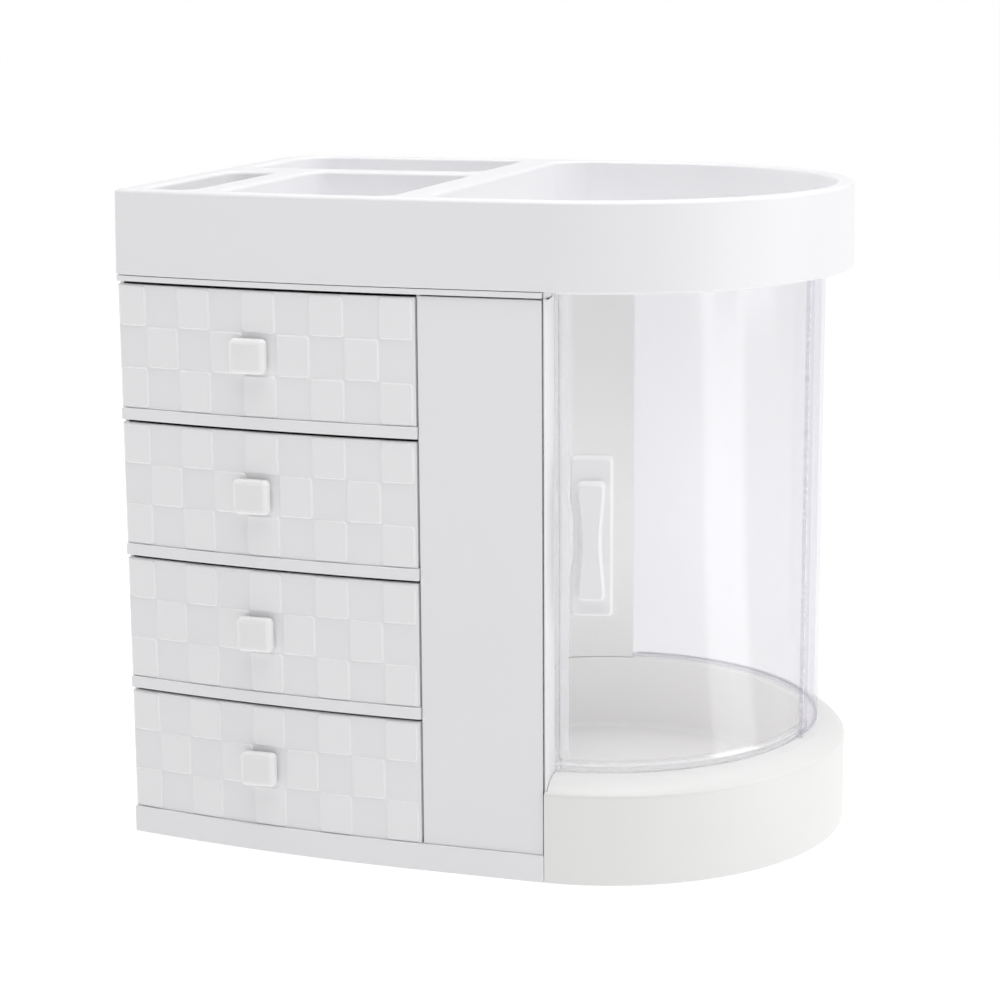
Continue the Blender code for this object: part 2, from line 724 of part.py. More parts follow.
def compartments():
    rim = TRAY_INSET + TRAY_RIM
    rear = BACK - rim
    corner = TRAY_CORNER_R

    def front_pocket(left, right, pocket_rear):
        steps = max(1, int((right - left) / (3 * corner)))
        line = front_line(left, right, rim, steps)
        points = [(*line[0], corner)] + [(x, y, 0) for x, y in line[1:-1]] + [(*line[-1], corner)]
        points += [(right, pocket_rear, corner), (left, pocket_rear, corner)]
        return rounded(points)

    left = LEFT + SMALL_LEFT
    small_right = left + SMALL_W
    middle_rear = FRONT + DEPTH * MIDDLE_REAR_SHARE
    small = front_pocket(left, small_right, FRONT + DEPTH * SMALL_REAR_SHARE)
    middle = front_pocket(small_right + TRAY_DIVIDER_W, PARTITION_X - MIDDLE_END_GAP, middle_rear)

    long_front = middle_rear + TRAY_DIVIDER_W
    long_right = PARTITION_X - LONG_END_GAP
    long_points = [(left, long_front, corner), (long_right, long_front, corner), (long_right, rear, corner),
                   (left, rear, REAR_CORNER_R - rim)]

    wide = 2 * corner
    line = front_line(PARTITION_X + ROUND_GAP, AXIS_X, rim, 1)
    round_points = [(*line[0], wide)] + [(x, y, 0) for x, y in line[1:]]
    round_points += [(x, y, 0) for x, y in axis_arc(END_R - rim, -90, 90)[1:]]
    round_points += [(PARTITION_X + ROUND_GAP, rear, wide)]
    return [small, middle, rounded(long_points), rounded(round_points)]


def make_tray():
    tray = flat_solid("top_tray", [whole_plan(TRAY_INSET)], TRAY_Z, HEIGHT)
    pockets = compartments()
    for number, pocket in enumerate(pockets, 1):
        cut = flat_solid(f"tray_pocket_{number}", [pocket], TRAY_Z + TRAY_FLOOR_T, HEIGHT + OVERRUN)
        add_boolean(tray, cut, "DIFFERENCE")
    add_bevel(tray, TRAY_LIP_ROUND, LIP_ANGLE)
    # the walls round the three small compartments are hollow from below
    inset = TRAY_INSET + TRAY_WALL_T
    right = PARTITION_X + ROUND_GAP - TRAY_WALL_T
    skirt = front_line(LEFT + inset, right, inset) + [(right, BACK - inset)] + rear_left_corner(inset)
    loops = [skirt] + [offset(pocket, -TRAY_WALL_T, True) for pocket in pockets[:-1]]
    add_boolean(tray, flat_solid("tray_hollow", loops, TRAY_Z - OVERRUN, HEIGHT - TRAY_WALL_T), "DIFFERENCE")
    return finish(tray, white)


clear_scene()
parts = new_collection("brush_holder")
cutters = new_collection("cutters")
white = new_material("white_plastic", (0.86, 0.86, 0.87), 0.38)
milky = new_material("milky_plastic", (0.88, 0.87, 0.84), 0.3)
clear = new_material("clear_plastic", (0.93, 0.93, 0.97), 0.05, 0.2)

make_plinth()
make_ring()
make_shell()
make_cabinet_top()
for shelf_number in range(1, DRAWERS):
    make_shelf(shelf_number)
make_blank_panel()
make_front_post()
for drawer_number in range(1, DRAWERS + 1):
    make_drawer(drawer_number)
make_chamber_wall()
make_clear_panel()
make_door()
make_tray()
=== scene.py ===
# The looks of a brush holder with four tiled drawers, a compartment tray and a round brush
# chamber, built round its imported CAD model. Metres, +Z up, the drawers face -Y.

import math
import random

import bmesh
import bpy
from mathutils import Matrix, Vector


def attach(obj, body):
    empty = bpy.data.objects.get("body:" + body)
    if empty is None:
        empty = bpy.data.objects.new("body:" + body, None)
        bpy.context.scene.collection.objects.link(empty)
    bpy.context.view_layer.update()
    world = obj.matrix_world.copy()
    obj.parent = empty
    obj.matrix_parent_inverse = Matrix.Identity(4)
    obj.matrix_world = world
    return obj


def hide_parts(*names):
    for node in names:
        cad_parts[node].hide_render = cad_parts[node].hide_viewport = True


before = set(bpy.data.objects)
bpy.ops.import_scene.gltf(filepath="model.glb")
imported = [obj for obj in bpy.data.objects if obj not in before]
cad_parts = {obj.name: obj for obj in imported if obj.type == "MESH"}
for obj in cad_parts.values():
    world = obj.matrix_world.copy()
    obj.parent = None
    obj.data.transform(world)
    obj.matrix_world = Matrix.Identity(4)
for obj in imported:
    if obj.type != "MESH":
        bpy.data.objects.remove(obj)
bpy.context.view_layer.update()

print("frame:", len(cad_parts), "CAD nodes")


# Plan of the whole object

body = {
    "width": 0.340,
    "depth": 0.245,
    "height": 0.325,
    "frontBow": 0.014,        # the front's left end stands this far back
    "frontFlat": 0.0595,      # the front's straight stretch, left of the chamber's axis
    "rearCorner": 0.025,
    "play": 0.0003,           # between pieces that fit together
    "plinthHigh": 0.0133,
    "plinthEdge": 0.0005,
    "trayLow": 0.2836,
    "cabinetHigh": 0.2806,    # underside of the cabinet's top plate
    "chamberHigh": 0.2813,    # underside of the chamber's top
    "housingWide": 0.160,
    "wall": 0.0022,
    "postOffset": 0.0025,     # from the chamber's axis to the post
    "rearSeamOffset": 0.019,
    "faceAngle": 2.5,         # degrees a face on the large round pieces
    "bowSteps": 36,
    "cornerSteps": 10,
}
play = body["play"]
slit = play / 3    # shows under the drawer fronts and the blank panel
wall = body["wall"]
leftX = -body["width"] / 2
frontLimit = -body["depth"] / 2
backY = body["depth"] / 2
endRadius = body["depth"] / 2
axisX = body["width"] / 2 - endRadius
bowX = axisX - body["frontFlat"]
bowRun = bowX - leftX
bowRadius = (bowRun ** 2 + body["frontBow"] ** 2) / (2 * body["frontBow"])
partitionX = leftX + body["housingWide"]
postX = axisX + body["postOffset"]
rearSeamX = axisX - body["rearSeamOffset"]


def arcPoints(centre, radius, start, end, steps):
    turns = [math.radians(start + (end - start) * step / steps) for step in range(steps + 1)]
    return [(centre[0] + radius * math.cos(turn), centre[1] + radius * math.sin(turn)) for turn in turns]


def axisArc(radius, start, end, steps=None):
    steps = steps or max(1, math.ceil(abs(end - start) / body["faceAngle"]))
    return arcPoints((axisX, 0), radius, start, end, steps)


def frontY(x, inset=0):
    return frontLimit + bowRadius - math.sqrt((bowRadius - inset) ** 2 - max(bowX - x, 0) ** 2)


def frontLine(xFrom, xTo, inset=0, steps=body["bowSteps"]):
    stations = [xFrom + (xTo - xFrom) * step / steps for step in range(steps + 1)]
    return [(x, frontY(x, inset)) for x in stations]


def rearLeftCorner(inset=0, start=90, end=180):
    centre = (leftX + body["rearCorner"], backY - body["rearCorner"])
    return arcPoints(centre, body["rearCorner"] - inset, start, end, body["cornerSteps"])


def wholePlan(inset=0):
    return (frontLine(leftX + inset, axisX, inset) + axisArc(endRadius - inset, -90, 90)[1:]
            + rearLeftCorner(inset))


def sector(inner, outer, start, end):
    return axisArc(outer, start, end) + axisArc(inner, end, start)


def angleAt(x, radius):
    return math.degrees(math.acos((x - axisX) / radius))


def flatSide(radius, chordX, corner, start, end):
    # round the left of the chamber: circle, small corner, flat side, small corner, circle
    cornerX = chordX + corner
    cornerY = math.sqrt((radius - corner) ** 2 - (cornerX - axisX) ** 2)
    tangent = math.degrees(math.atan2(cornerY, cornerX - axisX))
    upper = arcPoints((cornerX, cornerY), corner, tangent, 180, body["cornerSteps"])
    lower = arcPoints((cornerX, -cornerY), corner, 180, 360 - tangent, body["cornerSteps"])
    return axisArc(radius, start, tangent)[:-1] + upper + lower + axisArc(radius, -tangent, end)[1:]


def moved(points, distance, closed=True):
    # moves a line to its own left; a loop that runs anticlockwise shrinks
    count = len(points)
    result = []
    for index, (x, y) in enumerate(points):
        neighbours = []
        if closed or index > 0:
            neighbours.append((points[index - 1], (x, y)))
        if closed or index < count - 1:
            neighbours.append(((x, y), points[(index + 1) % count]))
        normals = []
        for before, after in neighbours:
            length = math.hypot(after[0] - before[0], after[1] - before[1])
            normals.append(((before[1] - after[1]) / length, (after[0] - before[0]) / length))
        nx = sum(normal[0] for normal in normals)
        ny = sum(normal[1] for normal in normals)
        scale = distance * len(normals) / (nx ** 2 + ny ** 2)
        result.append((x + nx * scale, y + ny * scale))
    return result


def rounded(corners, steps=body["cornerSteps"]):
    # each corner is x, y and its radius; a radius of zero keeps the point
    loop = []
    for index, (x, y, radius) in enumerate(corners):
        if radius == 0:
            loop.append((x, y))
            continue
        before = corners[index - 1]
        after = corners[(index + 1) % len(corners)]
        into = math.atan2(y - before[1], x - before[0])
        out = math.atan2(after[1] - y, after[0] - x)
        turn = (out - into + math.pi) % (2 * math.pi) - math.pi
        reach = radius * abs(math.tan(turn / 2))
        side = math.copysign(math.pi / 2, turn)
        centre = (x - reach * math.cos(into) + radius * math.cos(into + side),
                  y - reach * math.sin(into) + radius * math.sin(into + side))
        start = math.degrees(into - side)
        loop += arcPoints(centre, radius, start, start + math.degrees(turn), steps)
    return loop


def boxLoop(wide, high, corner, steps=body["cornerSteps"]):
    x, y = wide / 2, high / 2
    return rounded([(-x, -y, corner), (x, -y, corner), (x, y, corner), (-x, y, corner)], steps)


def roundOver(radius, steps=4):
    # share pairs of a quarter round: how far in, how far down from the top
    turns = [math.pi / 2 * step / steps for step in range(steps + 1)]
    return [(radius * (1 - math.sin(turn)), radius * (1 - math.cos(turn))) for turn in turns]


# Mesh work

weldReach = 0.000002
fineSteps = 3    # faces in the round of a finer edge


def newObject(name, shape):
    mesh = bpy.data.meshes.new(name)
    shape.to_mesh(mesh)
    shape.free()
    item = bpy.data.objects.new(name, mesh)
    bpy.context.scene.collection.objects.link(item)
    return item


def addStack(shape, rings, capFirst=True, capLast=True):
    # rings are loops of the same count; returns the side faces, one list for each band
    rows = [[shape.verts.new(point) for point in ring] for ring in rings]
    bands = []
    for lower, upper in zip(rows, rows[1:]):
        corners = [(index, (index + 1) % len(lower)) for index in range(len(lower))]
        bands.append([shape.faces.new((lower[a], lower[b], upper[b], upper[a])) for a, b in corners])
    if capFirst:
        shape.faces.new(rows[0][::-1])
    if capLast:
        shape.faces.new(rows[-1])
    return bands


def level(loop, z):
    return [(x, y, z) for x, y in loop]


def closeUp(shape):
    bmesh.ops.remove_doubles(shape, verts=shape.verts, dist=weldReach)
    bmesh.ops.dissolve_degenerate(shape, edges=shape.edges, dist=weldReach)
    bmesh.ops.recalc_face_normals(shape, faces=shape.faces)


def prism(name, loop, low, high, edge=0.0004, steps=2):
    # an upright slab with small rounds on its upper and lower edges
    rings = [level(moved(loop, inset), low + drop) for inset, drop in roundOver(edge, steps)]
    rings += [level(moved(loop, inset), high - drop) for inset, drop in roundOver(edge, steps)[::-1]]
    shape = bmesh.new()
    addStack(shape, rings)
    closeUp(shape)
    return newObject(name, shape)


def joined(name, items):
    shape = bmesh.new()
    for item in items:
        shape.from_mesh(item.data)
        bpy.data.objects.remove(item)
    return newObject(name, shape)


def settle(item):
    # bakes the modifiers into the mesh
    bpy.context.view_layer.update()
    mesh = bpy.data.meshes.new_from_object(item.evaluated_get(bpy.context.evaluated_depsgraph_get()))
    item.modifiers.clear()
    item.data = mesh


def cutAway(item, tool):
    modifier = item.modifiers.new("cut away", "BOOLEAN")
    modifier.operation = "DIFFERENCE"
    modifier.solver = "EXACT"
    modifier.object = tool
    settle(item)
    bpy.data.objects.remove(tool)


def shade(shape, faces, dark, light):
    # marks faces for painted shade and painted highlight; the finishes read the mark and make them darker or
    # lighter than the rest
    layer = shape.loops.layers.float_color.get("paintedShading") or shape.loops.layers.float_color.new("paintedShading")
    for face in faces:
        for loop in face.loops:
            loop[layer] = (dark, light, 0, 1)


def dress(item, material, rides, nodes, sharp=40):
    # edges that bend more than this many degrees stay sharp
    item.data.materials.clear()
    item.data.materials.append(material)
    item.data.shade_smooth()
    item.data.set_sharp_from_angle(angle=math.radians(sharp))
    weighted = item.modifiers.new("even shading", "WEIGHTED_NORMAL")
    weighted.keep_sharp = True
    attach(item, rides)
    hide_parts(*nodes)
    return item


# Materials

class Wire:
    def __init__(self, bench, socket):
        self.bench = bench
        self.socket = socket

    def maths(self, operation, first, second=0):
        return self.bench.node("Math", {"operation": operation}, {0: first, 1: second})

    def __add__(self, other):
        return self.maths("ADD", self, other)

    def __radd__(self, other):
        return self.maths("ADD", other, self)

    def __sub__(self, other):
        return self.maths("SUBTRACT", self, other)

    def __rsub__(self, other):
        return self.maths("SUBTRACT", other, self)

    def __mul__(self, other):
        return self.maths("MULTIPLY", self, other)

    def __rmul__(self, other):
        return self.maths("MULTIPLY", other, self)

    def __pow__(self, other):
        return self.maths("POWER", self, other)


class Bench:
    def __init__(self, owner, shader="Principled BSDF"):
        self.owner = owner
        owner.use_nodes = True
        self.tree = owner.node_tree
        self.shader = self.tree.nodes[shader]

    def node(self, kind, settings=None, sockets=None, output=0):
        made = self.tree.nodes.new("ShaderNode" + kind)
        for key, value in (settings or {}).items():
            setattr(made, key, value)
        for key, value in (sockets or {}).items():
            self.feed(made.inputs[key], value)
        return Wire(self, made.outputs[output])

    def feed(self, socket, value):
        if isinstance(value, Wire):
            self.tree.links.new(value.socket, socket)
        else:
            socket.default_value = value

    def set(self, **values):
        for key, value in values.items():
            self.feed(self.shader.inputs[key.replace("_", " ")], value)

    def noise(self, scale, detail=2.0, roughness=0.5):
        place = self.node("TexCoord", output="Object")
        return self.node("TexNoise", None, {"Vector": place, "Scale": scale, "Detail": detail,
                                            "Roughness": roughness})

    def blend(self, share, first, second):
        return self.node("Mix", {"data_type": "RGBA"}, {"Factor": share, 6: first, 7: second}, 2)

    def bump(self, height, strength, distance):
        return self.node("Bump", None, {"Height": height, "Strength": strength, "Distance": distance})


def paintedShadingPart(bench, part):
    # reads the mark of painted light and shade; faces without a mark are white there, marked ones have no
    # blue
    paintedShading = bench.node("Attribute", {"attribute_name": "paintedShading"}, None, "Color")
    unmarked = bench.node("SeparateColor", None, {"Color": paintedShading}, "Blue")
    return bench.node("SeparateColor", None, {"Color": paintedShading}, part) * (1 - unmarked)


def mouldedPlastic(name, look):
    bench = Bench(bpy.data.materials.new(name))
    cloud = bench.noise(look["cloudScale"], look["cloudDetail"])
    grain = bench.noise(look["grainScale"], look["grainDetail"], look["grainMix"])
    # marked faces get the painted highlight colour
    light = paintedShadingPart(bench, "Green")
    colour = bench.blend(cloud, (*look["pale"], 1), (*look["deep"], 1))
    roughness = look["roughness"] + look["cloudRough"] * (cloud - 0.5)
    bench.set(Base_Color=bench.blend(light, colour, (*look["paintedLight"], 1)),
              Roughness=roughness + look["grainRough"] * (grain - 0.5),
              Normal=bench.bump(grain, look["grain"], look["grainDeep"]))
    bench.shader.inputs["IOR"].default_value = look["ior"]
    bench.shader.inputs["Subsurface Weight"].default_value = look["milk"]
    bench.shader.inputs["Subsurface Radius"].default_value = (look["milkReach"],) * 3
    bench.shader.inputs["Subsurface Scale"].default_value = 1.0
    return bench.owner


def clearPlastic(name, look):
    bench = Bench(bpy.data.materials.new(name))
    rim = bench.node("LayerWeight", None, {"Blend": look["rimBlend"]}, "Facing")
    cloud = bench.noise(look["cloudScale"], look["cloudDetail"])
    # marked faces get painted shade and painted highlight, and look more solid
    dark, light = paintedShadingPart(bench, "Red"), paintedShadingPart(bench, "Green")
    sheet = bench.blend(rim, (*look["face"], 1), (*look["edge"], 1))
    colour = bench.blend(dark, sheet, (*look["dark"], 1))
    bench.set(Base_Color=bench.blend(light, colour, (*look["light"], 1)),
              Roughness=look["roughness"] + look["cloudRough"] * cloud,
              Alpha=look["body"] + look["rim"] * rim ** look["rimPower"] + look["paintedShading"] * (dark + light))
    bench.shader.inputs["IOR"].default_value = look["ior"]
    bench.shader.inputs["Specular IOR Level"].default_value = look["shine"]
    return bench.owner


# marked faces are painted with a lighter colour, a painted highlight in place of light through and off the
# moulded edges; "milk" is light that gets into the plastic
whiteLook = {"pale": (0.912, 0.906, 0.922), "deep": (0.888, 0.881, 0.899), "paintedLight": (1.0, 0.995, 1.0),
             "roughness": 0.36, "cloudRough": 0.06, "cloudScale": 14.0, "cloudDetail": 3.0,
             "grainRough": 0.06, "grainScale": 2600.0, "grainDetail": 2.0, "grainMix": 0.6,
             "grain": 0.06, "grainDeep": 0.0001, "ior": 1.49, "milk": 0, "milkReach": 0.004}
whitePlastic = mouldedPlastic("whitePlastic", whiteLook)
knobPlastic = mouldedPlastic("milkyKnobPlastic", {**whiteLook, "pale": (0.905, 0.90, 0.903),
                                                  "deep": (0.88, 0.875, 0.877), "roughness": 0.24,
                                                  "cloudScale": 60.0, "grain": 0.03, "milk": 0.15})
warmPlastic = mouldedPlastic("warmWhitePlastic", {**whiteLook, "pale": (0.905, 0.90, 0.893),
                                                  "deep": (0.885, 0.88, 0.872)})
# "body" is how solid the sheet looks straight on, "rim" what a slanting view adds; "dark" and "light" are
# painted shade and painted highlight on marked faces, which also look more solid
clearLook = {"edge": (0.72, 0.70, 0.78), "dark": (0.60, 0.58, 0.60), "light": (0.93, 0.925, 0.98),
             "paintedShading": 0.5, "rim": 0.24, "rimBlend": 0.35, "rimPower": 4.0, "roughness": 0.12,
             "cloudRough": 0.04, "cloudScale": 20.0, "cloudDetail": 2.0, "ior": 3.0, "shine": 0.9}
clearPanelPlastic = clearPlastic("clearPanelPlastic", {**clearLook, "face": (0.17, 0.14, 0.40),
                                                       "body": 0.165})
clearDoorPlastic = clearPlastic("clearDoorPlastic", {**clearLook, "face": (0.42, 0.405, 0.43),
                                                     "body": 0.10})
print("materials made")


# Base

ringLook = {"wallHigh": 0.0437, "topZ": 0.051, "flatInset": 0.011, "roundShare": 0.45, "cornerRound": 0.007,
            "gap": 0.0055, "cupInset": 0.020, "cupGap": 0.011, "cupFloorZ": 0.0113, "cupLip": 0.0012,
            "cupFillet": 0.003, "shoulderSteps": 9, "railHigh": 0.002, "railThick": 0.0012,
            "railStart": 20.0, "railEnd": 96.0, "railEdge": 0.0004, "lowRound": 0.0006, "endSteps": 80}
# the painted shade on the rough cut end, the painted highlight along its outer corner and the lighter glue
# line along its inner corner are drawn by chance between two bounds
panelLook = {"inset": 0.0137, "start": -10.9, "end": 99.5, "rough": 0.25, "roughStep": 0.0016,
             "endStrip": 0.6, "sink": 0.00017, "seed": 7, "cutPaintedShade": 0.45, "cutSpread": 0.4,
             "outerLight": (0.2, 1.4), "innerLight": (0, 0.8)}
postLook = {"thick": 0.0012, "front": 0.0017, "rear": 0.0157, "corner": 0.0005, "outerCorner": 0.0008,
            "edge": 0.0003, "headEdge": 0.0001}
flatRadius = endRadius - ringLook["flatInset"]
cupRadius = endRadius - ringLook["cupInset"]
panelRadius = endRadius - panelLook["inset"]
ringX = partitionX + ringLook["gap"]
cupX = partitionX + ringLook["cupGap"]
overrun = 0.005


def makePlinth():
    grown = flatRadius + play
    around = flatSide(grown, ringX - play, ringLook["cornerRound"], angleAt(rearSeamX, grown),
                      -angleAt(postX, grown))
    loop = frontLine(leftX, postX) + around[::-1] + [(rearSeamX, backY)] + rearLeftCorner()
    plinth = prism("plinth", loop, 0, body["plinthHigh"], body["plinthEdge"])
    return dress(plinth, whitePlastic, "housing", ["base_plinth"])


def makeRing():
    run = endRadius - flatRadius
    drop = ringLook["topZ"] - ringLook["wallHigh"]
    seamX = postX + play
    rearX = rearSeamX + play
    around = flatSide(flatRadius, ringX, ringLook["cornerRound"], angleAt(rearX, flatRadius),
                      -angleAt(seamX, flatRadius))

    def outline(radius, z):
        end = axisArc(radius, -angleAt(seamX, radius), angleAt(rearX, radius), ringLook["endSteps"])
        return level(end + around, z)

    rings = [outline(endRadius - inset, lift) for inset, lift in roundOver(ringLook["lowRound"], fineSteps)]
    steps = ringLook["shoulderSteps"]
    for step in range(steps, -1, -1):
        share = step / steps
        turn = math.pi / 2 * share
        roundShare = ringLook["roundShare"]
        out = roundShare * math.sin(turn) + (1 - roundShare) * share
        down = roundShare * (1 - math.cos(turn)) + (1 - roundShare) * share
        rings.append(outline(flatRadius + run * out, ringLook["topZ"] - drop * down))
    shape = bmesh.new()
    addStack(shape, rings, True, False)

    cup = flatSide(cupRadius, cupX, ringLook["cornerRound"], 0, 0)[:-1]
    lip = roundOver(ringLook["cupLip"])
    fillet = roundOver(ringLook["cupFillet"])
    cupRings = [level(moved(cup, -a), ringLook["topZ"] - b) for a, b in lip]
    cupRings += [level(moved(cup, a), ringLook["cupFloorZ"] + b) for a, b in fillet[::-1]]
    addStack(shape, cupRings, False, True)
    bmesh.ops.remove_doubles(shape, verts=shape.verts, dist=weldReach)
    edges = [edge for edge in shape.edges if edge.is_boundary]
    bmesh.ops.triangle_fill(shape, use_beauty=True, edges=edges, normal=(0, 0, 1))
    closeUp(shape)
    ring = newObject("roundBase", shape)
    left, right = seamX - overrun, postX + postLook["thick"] + play
    low, high = frontLimit + postLook["front"] - play, frontLimit + postLook["rear"] + play
    notch = prism("notch", [(left, low), (right, low), (right, high), (left, high)], ringLook["wallHigh"],
                  ringLook["topZ"] + overrun)
    cutAway(ring, notch)
    # a small rail behind the clear panel, sunk into the flat top as deep as it stands up
    railInner = panelRadius + play
    railOuter, railHigh = railInner + ringLook["railThick"], ringLook["railHigh"]
    railLoop = sector(railInner, railOuter, ringLook["railStart"], ringLook["railEnd"])
    rail = prism("rail", railLoop, ringLook["topZ"] - railHigh, ringLook["topZ"] + railHigh,
                 ringLook["railEdge"], fineSteps)
    ring = joined("roundBase", [ring, rail])
    return dress(ring, warmPlastic, "housing", ["base_ring"])


makePlinth()
makeRing()
print("base made")


# Cabinet

drawerLook = {"count": 4, "shelfLip": 0.0058, "shelfThick": 0.0022, "lipInset": 0.0004, "lipDeep": 0.004,
              "frontInset": 0.0015, "frontThick": 0.0025, "gapLeft": 0.0005, "gapRight": 0.002,
              "gapTop": 0.0015, "boxSide": 0.0008, "boxThick": 0.0018, "boxTopGap": 0.0087,
              "boxRearGap": 0.030, "blankGap": 0.0013, "postGap": 0.0007, "blankTopGap": 0.0009,
              "shelfEndGap": 0.0006, "shelfEdge": 0.0002, "lipEdge": 0.0004, "frontEdge": 0.0004,
              "boxEdge": 0.0006, "boxFillet": 0.0015}
cabinetLook = {"edge": 0.0003, "jambDeep": 0.0115, "topInset": 0.0002, "biteGap": 0.001}
lipsHigh = (drawerLook["count"] - 1) * drawerLook["shelfLip"]
bayHigh = (body["cabinetHigh"] - body["plinthHigh"] - lipsHigh) / drawerLook["count"]
blankX = partitionX - drawerLook["gapRight"] + drawerLook["blankGap"]


def makeShell():
    innerX = leftX + wall
    step = drawerLook["frontInset"] + drawerLook["frontThick"] + 2 * play
    rearIn = backY - wall
    jambY = backY - cabinetLook["jambDeep"]
    innerPartition = partitionX - wall
    loop = [(innerX, frontY(innerX, step)), (leftX, frontY(leftX, step))] + rearLeftCorner(0, 180, 90)
    loop += [(rearSeamX, backY), (rearSeamX, jambY), (rearSeamX - wall, jambY), (rearSeamX - wall, rearIn),
             (partitionX, rearIn), (partitionX, frontY(partitionX, step)),
             (innerPartition, frontY(innerPartition, step)), (innerPartition, rearIn)]
    loop += rearLeftCorner(wall)
    shell = prism("cabinetWalls", loop[::-1], body["plinthHigh"] + play, body["cabinetHigh"] - play,
                  cabinetLook["edge"])
    return dress(shell, whitePlastic, "housing", ["cabinet_shell"])


def makeCabinetTop():
    # a plate over the drawers and a round lid over the chamber
    inset, edge = cabinetLook["topInset"], cabinetLook["edge"]
    discRadius = flatRadius - play
    biteRadius = discRadius - cabinetLook["biteGap"]
    right = postX - play
    top = body["trayLow"] - play
    bite = axisArc(biteRadius, 360 - angleAt(right, biteRadius), angleAt(rearSeamX, biteRadius))
    loop = frontLine(leftX + inset, right, inset) + bite
    loop += [(rearSeamX, backY - inset)] + rearLeftCorner(inset)
    plate = prism("cabinetLid", loop, body["cabinetHigh"], top, edge)
    disc = prism("chamberLid", axisArc(discRadius, 0, 360)[:-1], body["chamberHigh"], top, edge)
    lid = joined("cabinetLid", [plate, disc])
    return dress(lid, whitePlastic, "housing", ["cabinet_top"])


def bayFloor(number):
    return body["plinthHigh"] + (drawerLook["count"] - number) * (bayHigh + drawerLook["shelfLip"])


def makeShelf(number):
    top = bayFloor(number)
    inset, deep = drawerLook["lipInset"], drawerLook["lipDeep"]
    left = leftX + wall + play
    right = partitionX - wall - play
    corner = wall + play
    plate = frontLine(left, right, inset + deep / 2) + [(right, backY - corner)] + rearLeftCorner(corner)
    board = prism("shelfBoard", plate, top - drawerLook["shelfThick"], top, drawerLook["shelfEdge"], 1)
    lipLeft = leftX + inset
    lipRight = blankX - drawerLook["shelfEndGap"]
    lip = frontLine(lipLeft, lipRight, inset) + frontLine(lipRight, lipLeft, inset + deep)
    ledge = prism("shelfLip", lip, top - drawerLook["shelfLip"], top, drawerLook["lipEdge"], fineSteps)
    shelf = joined(f"shelf{number}", [board, ledge])
    return dress(shelf, whitePlastic, "housing", [f"shelf_{number}"])


def makeBlankPanel():
    inset, thick = drawerLook["frontInset"], drawerLook["frontThick"]
    right = postX - drawerLook["postGap"]
    loop = frontLine(blankX, right, inset) + frontLine(right, blankX, inset + thick)
    top = body["cabinetHigh"] - drawerLook["blankTopGap"]
    panel = prism("blankPanel", loop, body["plinthHigh"] + slit, top, drawerLook["frontEdge"], fineSteps)
    return dress(panel, whitePlastic, "housing", ["blank_panel"])


def makePost():
    front, rear = frontLimit + postLook["front"], frontLimit + postLook["rear"]
    right = postX + postLook["thick"]
    corner = postLook["corner"]
    loop = rounded([(postX, front, corner), (right, front, postLook["outerCorner"]), (right, rear, corner),
                    (postX, rear, corner)], fineSteps)
    post = prism("frontPost", loop, ringLook["wallHigh"] + play, body["cabinetHigh"] - play, postLook["edge"])
    # its head stands between the lid and the tray, in front of the chamber's round top
    headRear = -flatRadius
    headLoop = [(postX, front), (right, front), (right, headRear), (postX, headRear)]
    head = prism("postHead", moved(headLoop, slit), body["cabinetHigh"] - wall, body["trayLow"] - play,
                 postLook["headEdge"])
    post = joined("frontPost", [post, head])
    return dress(post, whitePlastic, "housing", ["front_post"])


makeShell()
makeCabinetTop()
for shelfNumber in range(1, drawerLook["count"]):
    makeShelf(shelfNumber)
makeBlankPanel()
makePost()
print("cabinet made")


# Drawers

# "edgeLight" and "faceLight" are painted highlight on a tile's rounded edge and on its raised face
tileLook = {"rows": 3, "columns": 9, "firstShare": 0.0984, "share": 0.1124, "lastGap": 0.0012,
            "raise": 0.0008, "corner": 0.0020, "cornerSteps": 5, "margin": 0.0002, "edge": 0.0010,
            "edgeLight": 0.45, "faceLight": 0.2, "sharp": 50}
# how far in and how proud each line round a tile lies, as shares of its edge and its raise
tileShares = ((0, -0.75), (0, 0), (0.2, 0.3), (0.5, 0.72), (0.8, 0.95), (1, 1))
knobLook = {"wide": 0.0182, "high": 0.0170, "out": 0.0070, "round": 0.0024, "share": 0.4600,
            "neck": 0.005, "neckInset": 0.0042, "neckTopInset": 0.0034, "neckHigh": 0.0012,
            "neckShare": 0.7, "backRound": 0.0008, "corner": 0.0026, "cornerShare": 0.9,
            "crown": 0.0003, "crownShares": (0.85, 0.6, 0.3), "drop": 0.0006, "edgeLight": 0.4,
            "roundSteps": 6, "sharp": 60}


def onFront(x, z, proud):
    return (x, frontY(x, drawerLook["frontInset"]) - proud, z)


def addTile(shape, left, right, low, high):
    across, up = right - left, high - low
    middle, height = (left + right) / 2, (low + high) / 2
    outer = boxLoop(across, up, tileLook["corner"], tileLook["cornerSteps"])
    rings = []
    for inset, proud in tileShares:
        rings.append([onFront(middle + x, height + z, proud * tileLook["raise"])
                      for x, z in moved(outer, inset * tileLook["edge"])])
    bands = addStack(shape, rings)
    # painted highlight on the rounded edges and on the raised face
    for band in bands[1:-1]:
        shade(shape, band, 0, tileLook["edgeLight"])
    shape.faces.ensure_lookup_table()
    shade(shape, [shape.faces[-1]], 0, tileLook["faceLight"])


